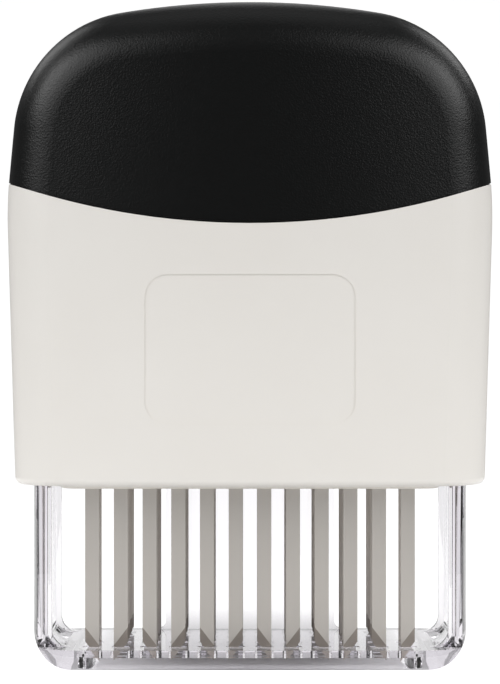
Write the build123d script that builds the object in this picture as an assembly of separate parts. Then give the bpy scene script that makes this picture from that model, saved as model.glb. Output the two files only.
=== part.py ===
from build123d import *
import functools
import math
import os

# Hand meat tenderizer. A moulded head carries rows of blades and slides down a clear guard on springs.
# Millimetres. X is the width, -Y the front and +Z up. The origin is under the middle of the guard.

# Outside of the head: white housing below the seam, black palm grip above it
overall_height = 146.0
head_depth = 44.0
widest_half = 54.0
widest_drop = 44.0
body_bottom_z = 39.7
side_lean = 1.9
shoulder_radius = 28.4
shoulder_inset = 29.85
crown_radius = 192.0
waist_blend = 100.0
face_bulge_radius = 240.0
edge_round = 12.0
bottom_round = 1.6
wall = 2.2
wall_bite = 0.4
seam_radius = 158.0
seam_drop = 49.3
seam_groove = 0.35

# Locating lips of the grip, inside the housing
lip_depth = 3.0
lip_thickness = 1.0
lip_end_inset = 16.0
lip_clearance = 0.15

# Faint panel on the front of the housing
panel_half_width = 22.8
panel_rise = 13.7
panel_drop = 60.3
panel_corner = 5.0
panel_depth = 0.18

# Clear guard: a slotted foot on a skirt, two end legs and one guide tongue at the back
guard_end_inset = 4.25
guard_face_inset = 3.4
guard_corner = 10.3
guard_foot_round = 9.0
plate_top_z = 4.2
plate_thickness = 1.8
cavity_end_inset = 10.15
cavity_face_inset = 2.0
cavity_corner = 5.0
window_end_inset = 4.35
window_corner = 4.0
leg_face_inset = 5.3
leg_wall = 3.1
leg_lip = 2.0
leg_pocket_corner = 2.0
tongue_half_width = 19.6
tongue_thickness = 2.0
tongue_engagement = 1.65
tongue_top_round = 4.0
tongue_foot_round = 2.1
lug_reach = 1.55
lug_half_width = 5.0
lug_height = 2.0

# Motion and clearances
press_stroke = 30.0
sliding_gap = 0.3
fork_gap = 0.7
fork_end_gap = 3.0

# Blades: staple-bent strips, each with two prongs one behind the other
column_count = 12
column_end_inset = 3.05
row_face_inset = 4.3
row_pitch = 7.3
blade_width = 3.1
blade_thickness = 0.7
tip_z = 1.3
tip_rise = 4.0
grind_height = 3.2
guard_slot_length = 4.1
guard_slot_width = 1.7
guard_slot_bevel = 0.5
blade_gap = 0.15

# Blade carrier, its clamp plate and screws
carrier_proud = 0.7
carrier_height = 8.0
carrier_end_gap = 2.75
carrier_side_wall = 3.2
carrier_corner = 4.0
carrier_round = 1.2
arm_thickness = 2.4
arm_half_width = 7.0
clamp_end_inset = 3.5
clamp_face_inset = 0.7
clamp_thickness = 2.5
clamp_corner = 3.0
clamp_screw_pitches = (-5, -2, 2, 5)
clamp_shank_radius = 1.4
clamp_shank_length = 8.2
clamp_head_radius = 2.7
screw_head_height = 2.0
screw_gap = 0.1
socket_share = 0.45

# Deck of the housing, with the latch of the carrier at both ends
deck_drop = 55.0
deck_thickness = 2.3
latch_half_width = 2.9
latch_gap = 0.5
latch_height = 2.0
latch_reach = 2.6
shelf_gap = 1.2
web_gap = 2.0
web_thickness = 1.2
web_drop = 13.0
ledge_height = 1.6
ledge_half_width = 5.5
ledge_gap = 0.45

# Bosses and screws of the grip
boss_end_inset = 14.0
boss_face_inset = 9.5
boss_radius = 3.5
boss_gap = 0.3
cap_shank_radius = 1.35
cap_shank_length = 16.0
cap_head_radius = 2.8
bore_end_gap = 3.0

# Return springs between the legs and the grip
spring_end_inset = 1.65
spring_face_inset = 4.3
spring_outer_radius = 3.3
spring_wire = 0.8
spring_drop = 36.0
spring_pressed_length = 14.0
pad_radius = 3.5
pad_thickness = 1.5
post_radius = 1.5
post_height = 5.0
cup_radius = 4.5
cup_depth = 3.0
cup_gap = 0.35

# Release buttons in the narrow sides
button_drop = 8.9
button_width = 8.0
button_height = 13.0
button_corner = 2.0
button_sink = 0.2
button_travel = 1.5
flange_width = 10.2
flange_height = 15.4
flange_end_inset = 4.3
flange_gap = 0.15
stem_radius = 1.5
stem_gap = 0.2
stem_end_gap = 0.3
button_spring_radius = 2.7
button_spring_wire = 0.45

# Heights that follow from the values above
widest_z = overall_height - widest_drop
seam_low_z = overall_height - seam_drop
panel_low_z = body_bottom_z + panel_rise
panel_high_z = overall_height - panel_drop
deck_low_z = overall_height - deck_drop
deck_top_z = deck_low_z + deck_thickness
latch_low_z = deck_top_z + sliding_gap
web_low_z = deck_low_z - web_drop
fork_low_z = web_low_z - press_stroke - fork_end_gap
button_z = deck_low_z - button_drop
spring_top_z = overall_height - spring_drop
leg_top_z = spring_top_z - press_stroke - spring_pressed_length
tongue_top_z = (body_bottom_z + deck_low_z - press_stroke) / 2 + tongue_engagement
carrier_bottom_z = body_bottom_z - carrier_proud
carrier_top_z = carrier_bottom_z + carrier_height
bridge_top_z = carrier_top_z + blade_thickness
clamp_top_z = bridge_top_z + clamp_thickness
ledge_top_z = body_bottom_z + ledge_height

# Half widths and places across that follow from the width
body_bottom_half = widest_half - side_lean
shoulder_x = widest_half - shoulder_inset
lip_half_width = widest_half - lip_end_inset
flange_inner_x = widest_half - flange_end_inset
guard_half_width = body_bottom_half - guard_end_inset
window_half_width = guard_half_width - window_end_inset
cavity_half_width = guard_half_width - cavity_end_inset
leg_inner_x = guard_half_width - leg_wall
spring_x = guard_half_width - spring_end_inset
carrier_half_width = leg_inner_x - carrier_end_gap
arm_inner_x = carrier_half_width - arm_thickness
clamp_half_width = carrier_half_width - clamp_end_inset
boss_x = carrier_half_width - boss_end_inset
shelf_inner_x = carrier_half_width + shelf_gap
web_inner_x = carrier_half_width + web_gap
web_outer_x = web_inner_x + web_thickness
column_pitch = 2 * (cavity_half_width - column_end_inset) / (column_count - 1)

# Half depths and places that follow from the depth
guard_half_depth = head_depth / 2 - guard_face_inset
leg_half_depth = guard_half_depth - leg_face_inset
cavity_half_depth = guard_half_depth - cavity_face_inset
row_outer_y = cavity_half_depth - row_face_inset
row_inner_y = row_outer_y - row_pitch
carrier_half_depth = row_outer_y + carrier_side_wall
clamp_half_depth = carrier_half_depth - clamp_face_inset
boss_y = head_depth / 2 - boss_face_inset
spring_y = leg_half_depth - spring_face_inset
fork_half_width = latch_half_width + fork_gap

# Longer than anything in the model
far = 3 * overall_height


def head_outline():
    """Front view of the head: leaning sides, round shoulders and a low crown, run on below the body."""
    crown_centre_z = overall_height - crown_radius
    shoulder_z = crown_centre_z + math.sqrt((crown_radius - shoulder_radius) ** 2 - shoulder_x**2)
    lean = math.atan2(shoulder_x, shoulder_z - crown_centre_z)
    crown_end = (crown_radius * math.sin(lean), crown_centre_z + crown_radius * math.cos(lean))
    away = math.hypot(widest_half - shoulder_x, widest_z - shoulder_z)
    turn = math.atan2(widest_z - shoulder_z, widest_half - shoulder_x) + math.acos(shoulder_radius / away)
    middle = (turn + math.pi / 2 - lean) / 2
    side_end, shoulder_mid = [
        (shoulder_x + shoulder_radius * math.cos(angle), shoulder_z + shoulder_radius * math.sin(angle))
        for angle in (turn, middle)
    ]
    slope = (widest_half - body_bottom_half) / (widest_z - body_bottom_z)
    low_z = body_bottom_z - edge_round
    low = (body_bottom_half - slope * edge_round, low_z)
    half = [
        Line(low, (widest_half, widest_z)),
        Line((widest_half, widest_z), side_end),
        ThreePointArc(side_end, shoulder_mid, crown_end),
    ]
    crown = ThreePointArc(crown_end, (0, overall_height), (-crown_end[0], crown_end[1]))
    foot = Line((-low[0], low_z), low)
    face = make_face(half + [mirror(edge, Plane.YZ) for edge in half] + [crown, foot])
    waist = face.vertices().filter_by(lambda corner: abs(corner.Y - widest_z) < wall_bite)
    return fillet(waist, waist_blend)


def bulged_block(inset):
    """Everything between the bowed front and the bowed back."""
    centre_y = face_bulge_radius - head_depth / 2
    drum = Cylinder(face_bulge_radius - inset, far)
    return (Pos(0, centre_y, 0) * drum) & (Pos(0, -centre_y, 0) * drum)


@functools.cache
def head_form(inset=0.0):
    """The head's outer form, drawn in all round by inset and run on below the body."""
    outline = head_outline()
    if inset > 0:
        outline = offset(outline, -inset)
    form = extrude(Plane.XZ * outline, head_depth, both=True) & bulged_block(inset)
    low_z = form.bounding_box().min.Z
    rim = form.edges().filter_by(
        lambda edge: abs(edge.center().Y) > head_depth / 5 and edge.center().Z > low_z + wall
    )
    return fillet(rim, edge_round - inset)


def body_form():
    """The outer form cut off at the body's bottom, with the bottom edge rounded."""
    form = head_form() - box_between((-far, -far, -far), (far, far, body_bottom_z))
    return fillet(form.edges().group_by(Axis.Z)[0], bottom_round)


def seam_drum(grow=0.0):
    """Everything above the smile-shaped seam, or above a seam moved down by grow."""
    return Pos(0, 0, seam_low_z + seam_radius) * Cylinder(seam_radius + grow, far, rotation=(90, 0, 0))


def box_between(low, high):
    """A box from its lowest corner to its highest."""
    size = [high[i] - low[i] for i in range(3)]
    centre = [(high[i] + low[i]) / 2 for i in range(3)]
    return Pos(*centre) * Box(*size)


def upright_prism(half_x, half_y, radius, low_z, high_z):
    """An upright prism whose plan is a rounded rectangle."""
    return Pos(0, 0, low_z) * extrude(RectangleRounded(2 * half_x, 2 * half_y, radius), high_z - low_z)


def front_prism(half_x, low_z, foot_round):
    """A prism along Y, endless upwards, whose front view has rounded lower corners."""
    view = Pos(0, low_z + far / 2) * Rectangle(2 * half_x, far)
    view = fillet(view.vertices().group_by(Axis.Y)[0], foot_round)
    return extrude(Plane.XZ * view, head_depth, both=True)


def side_prism(width, height, radius, low_x, high_x):
    """A prism along X at the button's height, whose side view is a rounded rectangle."""
    plane = Plane(origin=(low_x, 0, button_z), x_dir=(0, 1, 0), z_dir=(1, 0, 0))
    return extrude(plane * RectangleRounded(width, height, radius), high_x - low_x)


def upright_pin(x, y, radius, low_z, high_z):
    """An upright round pin."""
    return Pos(x, y, (low_z + high_z) / 2) * Cylinder(radius, high_z - low_z)


def both_ends(shape):
    """A right-hand feature and its mirror image on the left."""
    return [shape, mirror(shape, Plane.YZ)]


def four_places(x, y):
    """The four places at plus and minus x and y."""
    return [(side * x, end * y) for side in (-1, 1) for end in (-1, 1)]


def clamp_screw_places():
    """X of every clamp screw. They stand between the rows, in line with gaps between columns."""
    return [steps * column_pitch for steps in clamp_screw_pitches]


def column_places():
    """X of every blade column, from left to right."""
    first = -(column_count - 1) / 2 * column_pitch
    return [first + i * column_pitch for i in range(column_count)]


def blade_places():
    """The middle of every prong. The end columns carry only the two front rows."""
    columns = column_places()
    front = [(x, y) for x in columns for y in (-row_outer_y, -row_inner_y)]
    return front + [(x, y) for x in columns[1:-1] for y in (row_inner_y, row_outer_y)]


def guard_foot_and_legs():
    """The foot with its skirt and the two channel-shaped end legs, before slots and fittings."""
    body = upright_prism(guard_half_width, guard_half_depth, guard_corner, 0, leg_top_z)
    body &= front_prism(guard_half_width, 0, guard_foot_round)
    body -= front_prism(window_half_width, plate_top_z, window_corner)
    pocket = upright_prism(leg_inner_x, leg_half_depth - leg_lip, leg_pocket_corner, 0, far)
    body -= pocket & front_prism(leg_inner_x, plate_top_z, window_corner)
    for side in (-1, 1):
        near, away = sorted((side * leg_half_depth, side * far))
        body -= box_between((-far, near, plate_top_z), (far, away, far))
    ceiling_z = plate_top_z - plate_thickness
    body -= upright_prism(cavity_half_width, cavity_half_depth, cavity_corner, -1, ceiling_z)
    return body - box_between((-far, -fork_half_width, fork_low_z), (far, fork_half_width, far))


def guard_tongue():
    """The guide tongue at the back, with hollow rounds where it leaves the foot."""
    low_z = plate_top_z - plate_thickness
    view = Pos(0, (low_z + tongue_top_z) / 2) * Rectangle(2 * tongue_half_width, tongue_top_z - low_z)
    view = fillet(view.vertices().group_by(Axis.Y)[-1], tongue_top_round)
    foot_half = tongue_half_width + tongue_foot_round
    foot_top_z = plate_top_z + tongue_foot_round
    foot = Pos(0, (low_z + foot_top_z) / 2) * Rectangle(2 * foot_half, foot_top_z - low_z)
    for side in (-1, 1):
        foot -= Pos(side * foot_half, foot_top_z) * Circle(tongue_foot_round)
    plane = Plane(origin=(0, guard_half_depth, 0), x_dir=(1, 0, 0), z_dir=(0, -1, 0))
    return extrude(plane * (view + foot), tongue_thickness)


def guard_fittings():
    """Spring pads and posts on the legs' tops, and the lugs that stop the head from lifting off."""
    pads = [upright_pin(x, y, pad_radius, leg_top_z - pad_thickness, leg_top_z)
            for x, y in four_places(spring_x, spring_y)]
    posts = [upright_pin(x, y, post_radius, leg_top_z - pad_thickness, leg_top_z + post_height)
             for x, y in four_places(spring_x, spring_y)]
    lug_low_z = ledge_top_z + sliding_gap
    lug = box_between((guard_half_width - leg_wall / 2, -lug_half_width, lug_low_z),
                      (guard_half_width + lug_reach, lug_half_width, lug_low_z + lug_height))
    return pads + posts + both_ends(lug)


def base_guard():
    """The clear guard that the tenderizer stands on."""
    slot = Rectangle(guard_slot_length, guard_slot_width)
    slot = chamfer(slot.vertices(), guard_slot_bevel)
    slots = Sketch() + [Pos(x, y) * slot for x, y in blade_places()]
    body = guard_foot_and_legs() + guard_tongue() + guard_fittings()
    return body - extrude(slots, 2 * plate_top_z)


def housing_deck():
    """The deck with its latch openings, the end shelves and the webs that guide the buttons."""
    deck = box_between((-carrier_half_width, -far, deck_low_z), (carrier_half_width, far, deck_top_z))
    opening_y = latch_half_width + latch_gap
    opening = box_between((arm_inner_x - sliding_gap, -opening_y, 0), (far, opening_y, far))
    shelf = box_between((shelf_inner_x, -latch_half_width, deck_low_z), (far, latch_half_width, deck_top_z))
    web = box_between((web_inner_x, -latch_half_width, web_low_z), (web_outer_x, latch_half_width, deck_top_z))
    hole = Pos(0, 0, button_z) * Cylinder(stem_radius + stem_gap, far, rotation=(0, 90, 0))
    deck -= both_ends(opening)
    deck -= [Pos(x, y, deck_low_z) * Cylinder(cap_shank_radius + 2 * screw_gap, far)
             for x, y in four_places(boss_x, boss_y)]
    core = head_form(wall - wall_bite)
    return [deck & core] + both_ends((shelf + (web - hole)) & core)


def housing_ledges():
    """Ledges at the foot of both ends, under the guard's lugs."""
    ledge = box_between((guard_half_width + ledge_gap, -ledge_half_width, body_bottom_z),
                        (far, ledge_half_width, ledge_top_z))
    return both_ends(ledge & head_form(wall - wall_bite))


def housing():
    """The white housing: walls below the seam, deck, ledges, button windows and front panel."""
    shell = body_form() - seam_drum() - head_form(wall)
    shell += housing_deck()
    shell += housing_ledges()
    window = side_prism(button_width + 2 * sliding_gap, button_height + 2 * sliding_gap,
                        button_corner + sliding_gap, flange_inner_x - button_travel, far)
    shell -= both_ends(window)
    panel = Pos(0, (panel_low_z + panel_high_z) / 2) * RectangleRounded(
        2 * panel_half_width, panel_high_z - panel_low_z, panel_corner)
    return shell - (extrude(Plane.XZ * panel, head_depth) - head_form(panel_depth))


def cap_lips():
    """Lips on the front and back walls of the grip that reach down inside the housing."""
    reach = box_between((-lip_half_width, -far, 0), (lip_half_width, far, far))
    hollow = head_form(wall + lip_clearance + lip_thickness)
    root = (head_form(wall - wall_bite) - hollow) & (seam_drum() - seam_drum(-lip_depth))
    tail = (head_form(wall + lip_clearance) - hollow) & (seam_drum(lip_depth) - seam_drum())
    return (root & reach) + (tail & reach)


def grip_cap():
    """The black palm grip: a dome with locating lips, screw bosses and spring cups."""
    cap = (head_form() & seam_drum()) - head_form(wall)
    cap -= (seam_drum() - seam_drum(-seam_groove)) - head_form(seam_groove)
    cap += cap_lips()
    core = head_form(wall - wall_bite)
    for x, y in four_places(boss_x, boss_y):
        cap += upright_pin(x, y, boss_radius, deck_top_z + boss_gap, far) & core
    for x, y in four_places(spring_x, spring_y):
        cap += upright_pin(x, y, cup_radius, spring_top_z - cup_depth, far) & core
    bore_top_z = deck_low_z + cap_shank_length + bore_end_gap
    cap -= [upright_pin(x, y, cap_shank_radius + screw_gap, 0, bore_top_z)
            for x, y in four_places(boss_x, boss_y)]
    return cap - [upright_pin(x, y, spring_outer_radius + cup_gap, 0, spring_top_z)
                  for x, y in four_places(spring_x, spring_y)]


def carrier_arm():
    """Right-hand arm of the carrier, with the latch tooth that hooks over the shelf."""
    arm = box_between((arm_inner_x, -arm_half_width, carrier_top_z - carrier_round),
                      (carrier_half_width, arm_half_width, deck_low_z - sliding_gap))
    top_corners = arm.edges().filter_by(Axis.X).group_by(Axis.Z)[-1]
    arm = fillet(top_corners, arm_half_width - latch_half_width - sliding_gap)
    top_z = latch_low_z + latch_height
    neck = box_between((arm_inner_x, -latch_half_width, deck_low_z - latch_height),
                       (carrier_half_width, latch_half_width, top_z))
    tooth = box_between((arm_inner_x, -latch_half_width, latch_low_z),
                        (carrier_half_width + latch_reach, latch_half_width, top_z))
    outer_edge = tooth.edges().filter_by(Axis.Y).sort_by(lambda edge: edge.center().X + edge.center().Z)[-1]
    return arm + neck + chamfer(outer_edge, latch_height - latch_gap)


def blade_carrier():
    """The block that holds the blades, with a through slot for each prong and two latch arms."""
    block = upright_prism(carrier_half_width, carrier_half_depth, carrier_corner,
                          carrier_bottom_z, carrier_top_z)
    block = fillet(block.edges().group_by(Axis.Z)[0], carrier_round)
    slot = Rectangle(blade_width + 2 * blade_gap, blade_thickness + 2 * blade_gap)
    slots = Sketch() + [Pos(x, y) * slot for x, y in blade_places()]
    block -= extrude(slots, far)
    block -= [Pos(x, 0, carrier_top_z) * Cylinder(clamp_shank_radius + screw_gap, far)
              for x in clamp_screw_places()]
    return block + both_ends(carrier_arm())


def blade_clamp_plate():
    """The plate that holds the blades' bridges down."""
    plate = upright_prism(clamp_half_width, clamp_half_depth, clamp_corner, bridge_top_z, clamp_top_z)
    return plate - [Pos(x, 0, bridge_top_z) * Cylinder(clamp_shank_radius + 2 * screw_gap, far)
                    for x in clamp_screw_places()]


def screw(head_radius, shank_radius, shank_length):
    """A flat-headed screw with a hexagon socket, pointing down from its head's seat at the origin."""
    head = upright_pin(0, 0, head_radius, 0, screw_head_height)
    socket = extrude(RegularPolygon(head_radius * socket_share, 6), screw_head_height)
    head -= Pos(0, 0, screw_head_height / 2) * socket
    return head + upright_pin(0, 0, shank_radius, -shank_length, 0)


def clamp_screws():
    """The screws of the clamp plate."""
    one = screw(clamp_head_radius, clamp_shank_radius, clamp_shank_length)
    return Compound([Pos(x, 0, clamp_top_z) * one for x in clamp_screw_places()])


def cap_screws():
    """The screws that hold the grip, driven up through the deck."""
    one = Rot(180, 0, 0) * screw(cap_head_radius, cap_shank_radius, cap_shank_length)
    return Compound([Pos(x, y, deck_low_z) * one for x, y in four_places(boss_x, boss_y)])


def tip_cutter():
    """What is ground off a prong at the origin: the slanting end and the two bevels beside it."""
    slant = math.atan2(tip_rise, blade_width)
    reach = grind_height * math.cos(slant) / (blade_thickness / 2)
    wide = blade_thickness
    deep = head_depth
    view = make_face(Polyline((-wide, -deep), (wide, -deep), (wide, wide * reach), (0, 0),
                              (-wide, wide * reach), close=True))
    edge_middle = (0, 0, tip_z + tip_rise / 2)
    along = (math.cos(slant), 0, -math.sin(slant))
    return extrude(Plane(origin=edge_middle, x_dir=(0, 1, 0), z_dir=along) * view, deep, both=True)


def twin_blade():
    """A staple-bent strip in the middle of the object, its points on the right-hand edge."""
    half_span = (row_outer_y - row_inner_y) / 2
    outer_y = half_span + blade_thickness / 2
    inner_y = half_span - blade_thickness / 2
    staple = Pos(0, bridge_top_z / 2) * Rectangle(2 * outer_y, bridge_top_z)
    staple = fillet(staple.vertices().group_by(Axis.Y)[-1], blade_thickness)
    staple -= Pos(0, carrier_top_z / 2) * Rectangle(2 * inner_y, carrier_top_z)
    strip = extrude(Plane.YZ * staple, blade_width / 2, both=True)
    return strip - [Pos(0, y, 0) * tip_cutter() for y in (-half_span, half_span)]


def spring_sleeve(outer_radius, wire, length):
    """A spring as a plain sleeve along Z that stands on the origin; all springs are out of sight."""
    return upright_pin(0, 0, outer_radius, 0, length) - upright_pin(0, 0, outer_radius - wire, 0, length)


def return_spring():
    """One return spring at its length at rest."""
    return spring_sleeve(spring_outer_radius, spring_wire, spring_top_z - leg_top_z)


def release_button():
    """The right-hand button: a face just below the wall, a flange behind it and a stem."""
    face = side_prism(button_width, button_height, button_corner, flange_inner_x, far)
    flange = side_prism(flange_width, flange_height, button_corner, flange_inner_x, far)
    stem_end_x = carrier_half_width + button_travel + stem_end_gap
    stem_length = flange_inner_x - stem_end_x
    stem = Pos(stem_end_x + stem_length / 2, 0, button_z) * Cylinder(stem_radius, stem_length, rotation=(0, 90, 0))
    return (face & head_form(button_sink)) + (flange & head_form(wall + flange_gap)) + stem


def button_spring():
    """The right-hand button's spring, between the web and the flange."""
    spring = spring_sleeve(button_spring_radius, button_spring_wire, flange_inner_x - web_outer_x)
    return Pos(web_outer_x, 0, button_z) * Rot(0, 90, 0) * spring


def write(node, shape):
    """Write one node's STEP file."""
    export_step(shape, "parts/" + node + ".step")


def write_blades():
    """Write every twin blade; points alternate from right edge to left edge along a row."""
    right_pointed = twin_blade()
    left_pointed = mirror(right_pointed, Plane.YZ)
    middle_y = (row_inner_y + row_outer_y) / 2
    for number, x in enumerate(column_places(), 1):
        blade = right_pointed if number % 2 else left_pointed
        write("twin_blade_front_%02d" % number, Pos(x, -middle_y, 0) * blade)
        if 1 < number < column_count:
            write("twin_blade_rear_%02d" % number, Pos(x, middle_y, 0) * blade)


def write_springs_and_buttons():
    """Write the return springs and the parts of both buttons."""
    spring = return_spring()
    corners = {"front_left": (-1, -1), "front_right": (1, -1), "rear_left": (-1, 1), "rear_right": (1, 1)}
    for corner, (side, end) in corners.items():
        write("return_spring_" + corner, Pos(side * spring_x, end * spring_y, leg_top_z) * spring)
    for part, shape in (("release_button", release_button()), ("button_spring", button_spring())):
        write(part + "_right", shape)
        write(part + "_left", mirror(shape, Plane.YZ))


def main():
    """Build every piece and write it."""
    os.makedirs("parts", exist_ok=True)
    for piece in (base_guard, housing, grip_cap, blade_carrier, blade_clamp_plate, clamp_screws, cap_screws):
        write(piece.__name__, piece())
    write_blades()
    write_springs_and_buttons()


main()
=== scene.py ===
# %% [markdown]
# This lesson dresses a hand meat tenderizer: a white and black moulded head, rows of steel blades and a clear
# guard. The construction model comes in at its real size and place, so nothing here is fitted or moved. What
# is left is what the eye judges: edges, finishes, light and the camera.

# %% Load the frame
import math

import bmesh
import bpy
from mathutils import Matrix, Vector


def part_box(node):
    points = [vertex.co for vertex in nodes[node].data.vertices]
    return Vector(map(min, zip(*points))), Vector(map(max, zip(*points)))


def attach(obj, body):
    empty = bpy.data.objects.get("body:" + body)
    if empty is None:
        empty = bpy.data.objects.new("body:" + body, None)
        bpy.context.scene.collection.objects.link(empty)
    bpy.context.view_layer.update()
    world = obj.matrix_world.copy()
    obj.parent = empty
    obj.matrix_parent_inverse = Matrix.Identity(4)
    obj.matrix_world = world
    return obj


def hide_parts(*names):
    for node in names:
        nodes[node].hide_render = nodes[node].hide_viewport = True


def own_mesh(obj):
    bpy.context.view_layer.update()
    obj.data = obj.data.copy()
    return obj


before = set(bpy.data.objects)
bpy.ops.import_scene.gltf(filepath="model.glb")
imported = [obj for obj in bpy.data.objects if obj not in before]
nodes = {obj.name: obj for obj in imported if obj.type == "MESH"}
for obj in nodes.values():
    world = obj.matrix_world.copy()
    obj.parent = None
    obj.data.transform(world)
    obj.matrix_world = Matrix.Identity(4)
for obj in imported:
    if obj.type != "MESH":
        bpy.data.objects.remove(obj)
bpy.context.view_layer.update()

MM = 0.001

# %% [markdown]
# The photograph was taken from straight ahead, about half a metre away. The camera's height and distance set
# how the far blades show between the near ones, so they come before any finish. A long lens keeps the sides
# parallel.

# %% Camera at the photograph's place
CAMERA_DISTANCE = 486 * MM
CAMERA_HEIGHT = 71.1 * MM
LENS = 113.5
CLIP_START = 10 * MM

camera_data = bpy.data.cameras.new("camera")
camera = bpy.data.objects.new("camera", camera_data)
bpy.context.scene.collection.objects.link(camera)
camera.location = (0, -CAMERA_DISTANCE, CAMERA_HEIGHT)
camera.rotation_euler = (math.radians(90), 0, 0)
camera_data.lens = LENS
camera_data.clip_start = CLIP_START
bpy.context.scene.camera = camera
print("camera at", [round(v, 3) for v in camera.location])

# %% [markdown]
# Colours are picked on screen as hex values, but light adds up on a linear scale, so one function turns the
# first into the second. The next ones add a node with its settings and links. The last ones take up what
# most finishes share: a noise, and what it does to colour, roughness and height. With them, each finish
# below reads as a recipe. A Mix node's colour sockets are known by number only, so the numbers get names.

# %% Helpers for finishes
WHITE = "#FFFFFF"
COLOUR_A = 6
COLOUR_B = 7
MIXED_COLOUR = 2


def to_linear(hex_colour):
    """An sRGB hex colour as a linear colour with alpha."""
    channels = [int(hex_colour[i:i + 2], 16) / 255 for i in (1, 3, 5)]
    linear = [c / 12.92 if c <= 0.04045 else ((c + 0.055) / 1.055) ** 2.4 for c in channels]
    return (*linear, 1.0)


def plug(owner, node, output, target, socket):
    """Links a node's output to a socket of another node, in a material or the world."""
    owner.node_tree.links.new(node.outputs[output], target.inputs[socket])


def add_node(owner, kind, inputs, **settings):
    """Adds a node. An input is a value, or a pair of a node and its output's name."""
    node = owner.node_tree.nodes.new(kind)
    for name, value in settings.items():
        setattr(node, name, value)
    for name, value in inputs.items():
        if isinstance(value, tuple) and isinstance(value[0], bpy.types.Node):
            plug(owner, *value, node, name)
        else:
            node.inputs[name].default_value = value
    return node


def maths(owner, operation, *values):
    """A Math node. Each value is a number, or a pair of a node and its output's name."""
    return add_node(owner, "ShaderNodeMath", dict(enumerate(values)), operation=operation)


def new_finish(name):
    """A material with its shader, and the node that gives each point's place and direction."""
    material = bpy.data.materials.new(name)
    material.use_nodes = True
    shader = material.node_tree.nodes["Principled BSDF"]
    place = add_node(material, "ShaderNodeTexCoord", {})
    return material, shader, place


def noise(material, place, width, detail):
    """Soft unevenness with features of about this width."""
    return add_node(material, "ShaderNodeTexNoise", {"Vector": place, "Scale": 1 / width, "Detail": detail})


def vary_colour(material, shader, factor, first, second):
    """Blends the surface from one hex colour to another as the factor goes from 0 to 1."""
    blend = add_node(material, "ShaderNodeMix",
                     {"Factor": factor, COLOUR_A: to_linear(first), COLOUR_B: to_linear(second)},
                     data_type="RGBA")
    plug(material, blend, MIXED_COLOUR, shader, "Base Color")


def vary_roughness(material, shader, pattern, least, most):
    """Lets the roughness follow a noise between two values."""
    spread = add_node(material, "ShaderNodeMapRange",
                      {"Value": (pattern, "Fac"), "To Min": least, "To Max": most})
    plug(material, spread, "Result", shader, "Roughness")


def emboss(material, shader, height, strength, depth):
    """Gives the surface a relief of this depth, which bends its highlights."""
    relief = add_node(material, "ShaderNodeBump",
                      {"Height": height, "Strength": strength, "Distance": depth})
    plug(material, relief, "Normal", shader, "Normal")


print("mid grey on a linear scale:", round(to_linear("#808080")[0], 3))

# %% [markdown]
# The housing is injection-moulded ABS in a warm white. Its steel mould leaves it softly glossy with a faint
# unevenness, like orange peel, which softens reflections at their rims. The colour drifts very slightly.

# %% Housing finish: moulded ABS
DRIFT_WIDTH = 33.0 * MM
PEEL_WIDTH = 1.6 * MM
PEEL_DEPTH = 0.006 * MM
PEEL_STRENGTH = 0.6
ROUGHNESS_DRIFT = 0.04
ABS_IOR = 1.54


def moulded_abs(name, light, dark, roughness):
    """Softly glossy ABS that drifts between two near colours."""
    material, shader, place = new_finish(name)
    drift = noise(material, (place, "Object"), DRIFT_WIDTH, detail=3.0)
    vary_colour(material, shader, (drift, "Fac"), dark, light)
    peel = noise(material, (place, "Object"), PEEL_WIDTH, detail=2.0)
    vary_roughness(material, shader, peel, roughness - ROUGHNESS_DRIFT, roughness + ROUGHNESS_DRIFT)
    emboss(material, shader, (peel, "Fac"), PEEL_STRENGTH, PEEL_DEPTH)
    shader.inputs["IOR"].default_value = ABS_IOR
    return material


housing_abs = moulded_abs("abs_moulded_ivory", "#F1EEE9", "#ECE8E2", roughness=0.34)
carrier_abs = moulded_abs("abs_moulded_carrier", "#EEE9E1", "#E8E3DA", roughness=0.42)
button_abs = moulded_abs("abs_moulded_button", "#F0ECE6", "#EBE6DF", roughness=0.38)
print("moulded finishes:", housing_abs.name, carrier_abs.name, button_abs.name)

# %% [markdown]
# The palm grip is black polypropylene from a spark-eroded mould. The sparks leave fine round pits, so
# highlights spread into a soft haze with a sparkle in it. The pits are drawn coarser than real ones, so that
# they show from half a metre away.

# %% Grip finish: spark-eroded polypropylene
GRAIN_WIDTH = 0.36 * MM
GRAIN_DEPTH = 0.05 * MM
GRAIN_STRENGTH = 0.8
GRIP_ROUGHNESS = (0.3, 0.38)
POLYPROPYLENE_IOR = 1.49
GRIP_REFLECTION = 0.34


def spark_eroded_polypropylene():
    """Black grained plastic."""
    material, shader, place = new_finish("polypropylene_spark_eroded_black")
    pits = add_node(material, "ShaderNodeTexVoronoi",
                    {"Vector": (place, "Object"), "Scale": 1 / GRAIN_WIDTH}, feature="SMOOTH_F1")
    fine = noise(material, (place, "Object"), GRAIN_WIDTH, detail=4.0)
    height = maths(material, "ADD", (pits, "Distance"), (fine, "Fac"))
    emboss(material, shader, (height, "Value"), GRAIN_STRENGTH, GRAIN_DEPTH)
    vary_roughness(material, shader, fine, *GRIP_ROUGHNESS)
    vary_colour(material, shader, (fine, "Fac"), "#040505", "#070808")
    shader.inputs["IOR"].default_value = POLYPROPYLENE_IOR
    shader.inputs["Specular IOR Level"].default_value = GRIP_REFLECTION
    return material


grip_plastic = spark_eroded_polypropylene()
print("grip finish:", grip_plastic.name)

# %% [markdown]
# The guard is clear styrene-acrylonitrile, the stiff plastic of kitchen jars. It is polished on both sides,
# so nearly all of its look is refraction: bright faces, dark rims and a faint violet-grey cast where it is
# thick. Left to itself the renderer lets no lamp light through clear plastic, and the blades behind it would
# be too dark. So the rays that only look for lamps pass through it, dimmed at each face.

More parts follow.
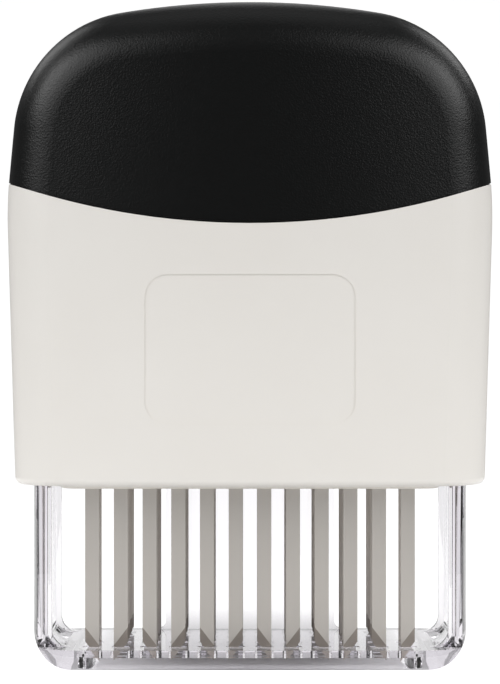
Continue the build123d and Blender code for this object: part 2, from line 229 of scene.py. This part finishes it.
# %% Guard finish: clear SAN
SAN_IOR = 1.53
FLOW_WIDTH = 9.0 * MM
FLOW_DEPTH = 0.05 * MM
FLOW_STRENGTH = 0.15
FLOW_ROUGHNESS = (0.0, 0.03)
TINT = "#B9AEC0"
TINT_DENSITY = 12.0
PASSED_LIGHT = "#CCC9CF"


def clear_san():
    """Clear moulded plastic with the faintest flow marks."""
    material, shader, place = new_finish("san_clear_moulded")
    shader.inputs["Base Color"].default_value = to_linear("#FCFBFD")
    shader.inputs["Transmission Weight"].default_value = 1.0
    shader.inputs["IOR"].default_value = SAN_IOR
    flow = noise(material, (place, "Object"), FLOW_WIDTH, detail=1.0)
    vary_roughness(material, shader, flow, *FLOW_ROUGHNESS)
    emboss(material, shader, (flow, "Fac"), FLOW_STRENGTH, FLOW_DEPTH)
    output = material.node_tree.nodes["Material Output"]
    tint = add_node(material, "ShaderNodeVolumeAbsorption",
                    {"Color": to_linear(TINT), "Density": TINT_DENSITY})
    plug(material, tint, "Volume", output, "Volume")
    rays = add_node(material, "ShaderNodeLightPath", {})
    passed = add_node(material, "ShaderNodeBsdfTransparent", {"Color": to_linear(PASSED_LIGHT)})
    either = add_node(material, "ShaderNodeMixShader",
                      {0: (rays, "Is Shadow Ray"), 1: (shader, "BSDF"), 2: (passed, "BSDF")})
    plug(material, either, "Shader", output, "Surface")
    return material


guard_plastic = clear_san()
print("guard finish:", guard_plastic.name)

# %% [markdown]
# The blades are hard stainless strip. Rolling leaves faint lines along the strip, fifty times as long as they
# are wide. Grinding shapes the bevels, and their darker colour is painted shade. Bevels are told from the
# flat by which way they point, so no mask has to be painted.

# %% Blade finish: rolled stainless steel, with painted shade on the bevels
ROLL_WIDTH = 0.12 * MM
ROLL_DEPTH = 0.004 * MM
ROLL_STRENGTH = 0.1
ROLL_SQUEEZE = (1.0, 1.0, 0.02)
STEEL_ROUGHNESS = (0.42, 0.48)
BEVEL_FACING = 0.995
EDGE_FACING = 0.5


def rolled_stainless(name, flat, shaded_bevel_colour):
    """Stainless strip with rolling lines along Z and painted shade darkening its bevels."""
    material, shader, place = new_finish(name)
    drawn_out = add_node(material, "ShaderNodeMapping", {"Vector": (place, "Object"), "Scale": ROLL_SQUEEZE})
    lines = noise(material, (drawn_out, "Vector"), ROLL_WIDTH, detail=3.0)
    vary_roughness(material, shader, lines, *STEEL_ROUGHNESS)
    emboss(material, shader, (lines, "Fac"), ROLL_STRENGTH, ROLL_DEPTH)
    direction = add_node(material, "ShaderNodeSeparateXYZ", {"Vector": (place, "Normal")})
    facing = maths(material, "ABSOLUTE", (direction, "Y"))
    tilted = maths(material, "LESS_THAN", (facing, "Value"), BEVEL_FACING)
    broad = maths(material, "GREATER_THAN", (facing, "Value"), EDGE_FACING)
    # painted shade: faces turned part way from the front or back are darkened, standing in for the shade on
    # them
    shaded_faces = maths(material, "MULTIPLY", (tilted, "Value"), (broad, "Value"))
    vary_colour(material, shader, (shaded_faces, "Value"), flat, shaded_bevel_colour)
    shader.inputs["Metallic"].default_value = 1.0
    return material


# The second colour of each steel is painted shade for its tilted faces.
blade_steel = rolled_stainless("stainless_rolled_strip", "#D8D3CD", "#A49C94")
sheet_steel = rolled_stainless("steel_zinc_plated", "#BFC0C2", "#A9AAAC")
spring_steel = rolled_stainless("steel_drawn_spring_wire", "#A8A8AC", "#98989C")
print("steel finishes:", blade_steel.name, sheet_steel.name, spring_steel.name)

# %% [markdown]
# Each construction node keeps its shape and takes its finish through its material slots. Its name tells which
# one. Nodes without an entry, such as the clamp plate and the screws, are zinc-plated steel.

# %% Give every node its finish
FINISHES = {
    "base_guard": guard_plastic,
    "grip_cap": grip_plastic,
    "housing": housing_abs,
    "blade_carrier": carrier_abs,
    "release_button": button_abs,
    "twin_blade": blade_steel,
}


def finish_for(node_name):
    """The finish whose entry the node's name starts with."""
    matches = [finish for start, finish in FINISHES.items() if node_name.startswith(start)]
    return matches[0] if matches else sheet_steel


for node_name, node in nodes.items():
    node.data.materials.clear()
    node.data.materials.append(finish_for(node_name))
print("dressed", len(nodes), "nodes")

# %% [markdown]
# Moulds have no truly sharp edges: a few tenths of a millimetre of rounding is what catches the light along a
# clear part and draws its outline. The guard's faces are joined, and then its edges are rounded.

# %% Soften the guard's edges
GUARD_EDGE = 0.3 * MM
JOIN_WITHIN = 0.001 * MM
SHARP_ANGLE = 38
ROUNDING_STEPS = 2


def soften(node, width):
    """Rounds the sharp edges of a construction node by this width."""
    join = node.modifiers.new("join", "WELD")
    join.merge_threshold = JOIN_WITHIN
    rounding = node.modifiers.new("round", "BEVEL")
    rounding.width = width
    rounding.segments = ROUNDING_STEPS
    rounding.limit_method = "ANGLE"
    rounding.angle_limit = math.radians(SHARP_ANGLE)


soften(nodes["base_guard"], GUARD_EDGE)
print("softened the guard's edges by", round(GUARD_EDGE / MM, 2), "mm")

# %% [markdown]
# The springs inside are plain sleeves in the construction model. Each gets its real form here: a coil of
# drawn wire, closed at both ends, made by spinning a small circle while it climbs. A closed turn climbs by
# one wire, so the two of them and the wire itself take three, and the open turns share the rest. A real coil
# shortens when the head or the button is pressed; these keep their resting length.

# %% Coil springs in place of the sleeves
UP = (0, 0, 1)
RIGHT = (1, 0, 0)
CENTRE = (0, 0, 0)
WIRE_SIDES = 8
STEPS_PER_TURN = 24
RETURN_SPRING = {"wire": 0.8 * MM, "open_turns": 9, "stroke": 30 * MM}
BUTTON_SPRING = {"wire": 0.45 * MM, "open_turns": 3, "stroke": 1.5 * MM}


def finished_mesh(name, form):
    """A smooth mesh from what was built in a form."""
    mesh = bpy.data.meshes.new(name)
    form.to_mesh(mesh)
    form.free()
    mesh.shade_smooth()
    return mesh


def coil_mesh(name, start, along, outer_radius, length, wire, open_turns):
    """A compression spring from start, with one closed turn at each end."""
    form = bmesh.new()
    first_place = Matrix.Translation((outer_radius - wire / 2, 0, wire / 2))
    upright = first_place @ Matrix.Rotation(math.radians(90), 4, "X")
    bmesh.ops.create_circle(form, radius=wire / 2, segments=WIRE_SIDES, matrix=upright)
    end = form.verts[:] + form.edges[:]
    open_climb = (length - 3 * wire) / open_turns
    for turns, climb in ((1, wire), (open_turns, open_climb), (1, wire)):
        end = bmesh.ops.spin(form, geom=end, cent=CENTRE, axis=UP, dvec=(0, 0, climb / STEPS_PER_TURN),
                             angle=math.radians(360 * turns), steps=STEPS_PER_TURN * turns)["geom_last"]
    bmesh.ops.holes_fill(form, edges=form.edges, sides=WIRE_SIDES)
    bmesh.ops.recalc_face_normals(form, faces=form.faces)
    turned = Vector(UP).rotation_difference(along).to_matrix()
    bmesh.ops.rotate(form, verts=form.verts, cent=CENTRE, matrix=turned)
    bmesh.ops.translate(form, verts=form.verts, vec=start)
    return finished_mesh(name, form)


def coil_spring(node_name, joint, along, fixed_at_far_end, wire, open_turns, stroke):
    """Puts a coil where a sleeve stood and hangs it from the press head."""
    low, high = (Vector(corner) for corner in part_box(node_name))
    along = Vector(along)
    length = (high - low).dot(along)
    radius = (high - low).y / 2
    start = (low + high - along * length) / 2
    name = "coil_" + node_name
    piece = bpy.data.objects.new(name, coil_mesh(name, start, along, radius, length, wire, open_turns))
    piece.data.materials.append(spring_steel)
    bpy.context.scene.collection.objects.link(piece)
    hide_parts(node_name)
    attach(piece, "press_head")
    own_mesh(piece)
    print(name, "length", round(length / MM, 2), "mm, outer radius", round(radius / MM, 2), "mm")


for corner in ("front_left", "front_right", "rear_left", "rear_right"):
    coil_spring("return_spring_" + corner, "press_slide", UP, fixed_at_far_end=True, **RETURN_SPRING)
coil_spring("button_spring_left", "button_left_push", RIGHT, fixed_at_far_end=True, **BUTTON_SPRING)
coil_spring("button_spring_right", "button_right_push", RIGHT, fixed_at_far_end=False, **BUTTON_SPRING)

# %% [markdown]
# Product photographs of clear plastic are taken on a light table: a sheet of opal acrylic that curves up
# behind the object and glows. The glow is what the guard refracts, and it washes out nearly all shadow. It
# is masked under the middle of the object, which keeps the guard's foot grey, and is full a hand's breadth
# away. The sheet ends just in front of the object, so that the black grip has no bright floor to mirror. Seen
# directly, it is always bright, as in a photograph whose background has been cleaned.

# %% Light table
TABLE_HALF_WIDTH = 0.22
TABLE_FRONT = -0.2
TABLE_BEND = 0.9
TABLE_RADIUS = 0.5
TABLE_TOP = 1.8
BEND_STEPS = 24
OPAL = "#BEBEBE"
OPAL_ROUGHNESS = 0.8
GLOW_STARTS = 0.015
GLOW_FULL = 0.09
FAR_GLOW = 0.7
CLEANED_GLOW = 0.75


def only(kind, elements):
    """The elements of one kind, such as the edges among what an extrusion made."""
    return [element for element in elements if isinstance(element, kind)]


def curved_sheet():
    """A floor that curves up into a backdrop, made by extruding and spinning one edge."""
    form = bmesh.new()
    ends = [form.verts.new((side * TABLE_HALF_WIDTH, TABLE_FRONT, 0)) for side in (-1, 1)]
    floor = bmesh.ops.extrude_edge_only(form, edges=[form.edges.new(ends)])["geom"]
    moved = only(bmesh.types.BMVert, floor)
    bmesh.ops.translate(form, verts=moved, vec=(0, TABLE_BEND - TABLE_FRONT, 0))
    rim = [edge for edge in only(bmesh.types.BMEdge, floor) if all(v in moved for v in edge.verts)]
    bend = bmesh.ops.spin(form, geom=rim, cent=(0, TABLE_BEND, TABLE_RADIUS), axis=RIGHT,
                          angle=math.radians(90), steps=BEND_STEPS)["geom_last"]
    wall = bmesh.ops.extrude_edge_only(form, edges=only(bmesh.types.BMEdge, bend))["geom"]
    moved = only(bmesh.types.BMVert, wall)
    bmesh.ops.translate(form, verts=moved, vec=(0, 0, TABLE_TOP - TABLE_RADIUS))
    bmesh.ops.recalc_face_normals(form, faces=form.faces)
    return finished_mesh("light_table", form)


def lit_opal():
    """Opal acrylic that glows more the further it is from the object."""
    material, shader, place = new_finish("acrylic_opal_lit")
    shader.inputs["Base Color"].default_value = to_linear(OPAL)
    shader.inputs["Roughness"].default_value = OPAL_ROUGHNESS
    shader.inputs["Emission Color"].default_value = to_linear(WHITE)
    away = add_node(material, "ShaderNodeVectorMath", {0: (place, "Object")}, operation="LENGTH")
    glow = add_node(material, "ShaderNodeMapRange",
                    {"Value": (away, "Value"), "From Min": GLOW_STARTS, "From Max": GLOW_FULL,
                     "To Max": FAR_GLOW})
    rays = add_node(material, "ShaderNodeLightPath", {})
    cleaned = maths(material, "MULTIPLY", (rays, "Is Camera Ray"), CLEANED_GLOW)
    brighter = maths(material, "MAXIMUM", (glow, "Result"), (cleaned, "Value"))
    plug(material, brighter, "Value", shader, "Emission Strength")
    return material


table = bpy.data.objects.new("light_table", curved_sheet())
table.data.materials.append(lit_opal())
bpy.context.scene.collection.objects.link(table)
print("table faces:", len(table.data.polygons))

# %% [markdown]
# A large box on either side in front lights the white housing and lays the haze on the grip's shoulders.
# Smaller ones further round brighten the narrow sides, two behind draw the thin rim, and one overhead lights
# the crown. Each is aimed at the middle of the object. Their strengths were found by rendering each lamp
# alone.

# %% Lights
AIM_HEIGHT = 0.08


def soft_box(name, place, size, power):
    """A square area light aimed at the object."""
    data = bpy.data.lights.new(name, "AREA")
    data.shape = "SQUARE"
    data.size = size
    data.energy = power
    light = bpy.data.objects.new(name, data)
    light.location = place
    x, y, z = place
    light.rotation_euler = (math.atan2(math.hypot(x, y), z - AIM_HEIGHT), 0, math.atan2(x, -y))
    bpy.context.scene.collection.objects.link(light)


for side in (-1, 1):
    soft_box("box_front", (side * 0.75, -0.66, 0.62), size=0.8, power=5.1)
    soft_box("box_side", (side * 1.0, -0.3, 0.7), size=0.5, power=3.5)
    soft_box("box_rear", (side * 0.7, 0.6, 0.8), size=0.5, power=1.6)
soft_box("box_top", (0.0, 0.0, 1.2), size=0.8, power=0.8)

# %% [markdown]
# The room beyond the table is dim, so that it adds no haze to the black grip. The camera sees white there
# too. A ray that comes out of the clear guard finds nearly white, because the guard would otherwise turn
# dark along its rounded edges.

# %% Room
ROOM_GLOW = 0.1
GLOW_THROUGH_GUARD = 0.92
CLEANED_ROOM = 1.0

room = bpy.data.worlds.new("room")
room.use_nodes = True
backdrop = room.node_tree.nodes["Background"]
backdrop.inputs["Color"].default_value = to_linear(WHITE)
rays = add_node(room, "ShaderNodeLightPath", {})
unseen = add_node(room, "ShaderNodeMix",
                  {"Factor": (rays, "Is Transmission Ray"), "A": ROOM_GLOW, "B": GLOW_THROUGH_GUARD})
shown = add_node(room, "ShaderNodeMix",
                 {"Factor": (rays, "Is Camera Ray"), "A": (unseen, "Result"), "B": CLEANED_ROOM})
plug(room, shown, "Result", backdrop, "Strength")
bpy.context.scene.world = room
bpy.context.scene.view_settings.view_transform = "Standard"
print("room glow:", ROOM_GLOW)

# %% [markdown]
# The last step only prints that the scene is dressed.

# %% Finish
print("scene dressed")
